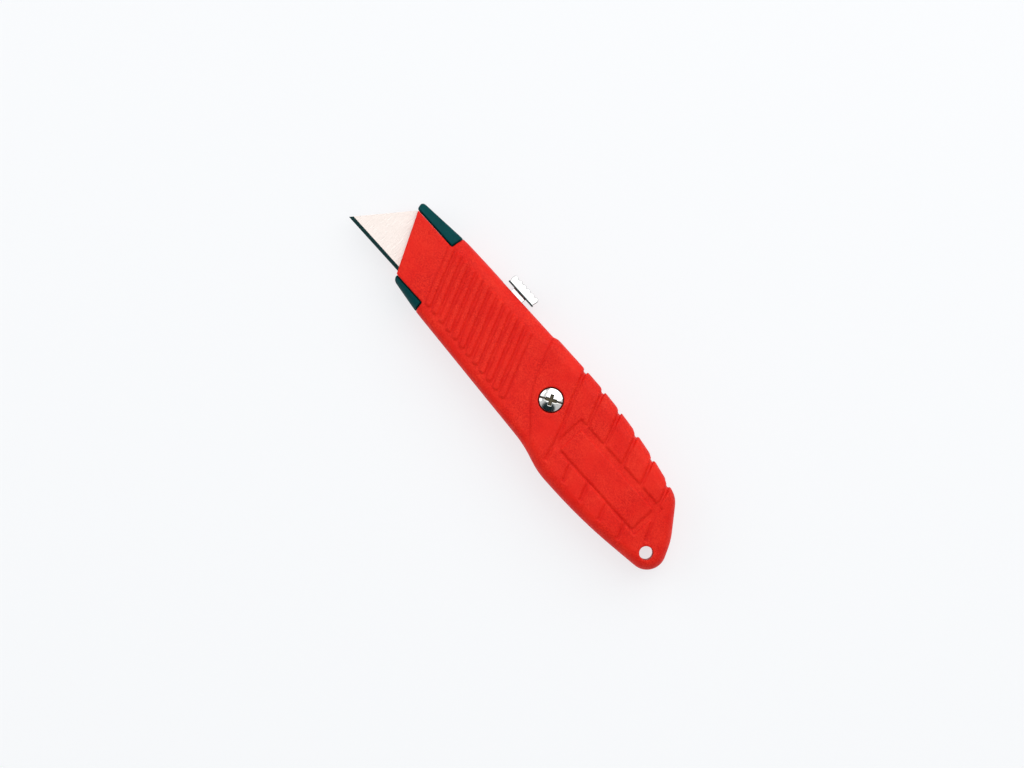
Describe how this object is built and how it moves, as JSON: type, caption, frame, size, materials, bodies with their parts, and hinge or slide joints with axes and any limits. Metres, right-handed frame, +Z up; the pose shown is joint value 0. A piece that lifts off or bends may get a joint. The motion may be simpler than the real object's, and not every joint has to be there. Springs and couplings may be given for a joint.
{
  "type": "utility knife",
  "caption": "Retractable utility knife with a two-part cast handle, thumb slide, trapezoid blade, clamp screw, lanyard hole and spare blades.",
  "frame": {"origin": "bottom centre of the bounding box, with the knife lying on its back shell", "axes": "+X from the blade towards the tail, +Y towards the spine with the thumb button, +Z up out of the face with the clamp screw"},
  "size_m": [0.1606, 0.04, 0.0188],
  "materials": {
    "shell_paint": "fine textured satin paint",
    "nose_paint": "satin paint",
    "screw_plate": "bright plated",
    "button_plate": "bright plated",
    "blade_steel": "ground",
    "carrier_steel": "zinc plated",
    "spring_steel": "plain"
  },
  "bodies": {
    "handle": {"back_shell": "shell_paint", "nose_lock": "nose_paint", "spare_blade_clip": "spring_steel", "spare_blade_1": "blade_steel", "spare_blade_2": "blade_steel", "spare_blade_3": "blade_steel", "spare_blade_4": "blade_steel", "spare_blade_5": "blade_steel"},
    "cover": {"front_shell": "shell_paint"},
    "screw": {"clamp_screw": "screw_plate"},
    "slider": {"blade_carrier": "carrier_steel", "cutting_blade": "blade_steel", "button_spring": "spring_steel"},
    "button": {"thumb_button": "button_plate"}
  },
  "joints": [
    {"name": "blade_slide", "type": "slide", "parent": "handle", "child": "slider", "axis": [1, 0, 0], "range_m": [0, 0.027]},
    {"name": "button_press", "type": "slide", "parent": "slider", "child": "button", "axis": [0, -1, 0], "range_m": [0, 0.0012], "stiffness_N_per_m": 2500, "springref_m": -0.0008, "deforming": ["button_spring"]},
    {"name": "cover_lift", "type": "slide", "parent": "handle", "child": "cover", "axis": [0, 0, 1], "range_m": [0, 0.03]},
    {"name": "screw_turn", "type": "hinge", "parent": "cover", "child": "screw", "pos_m": [0.01317, 0.00003, 0.0166], "axis": [0, 0, 1], "continuous": true}
  ]
}
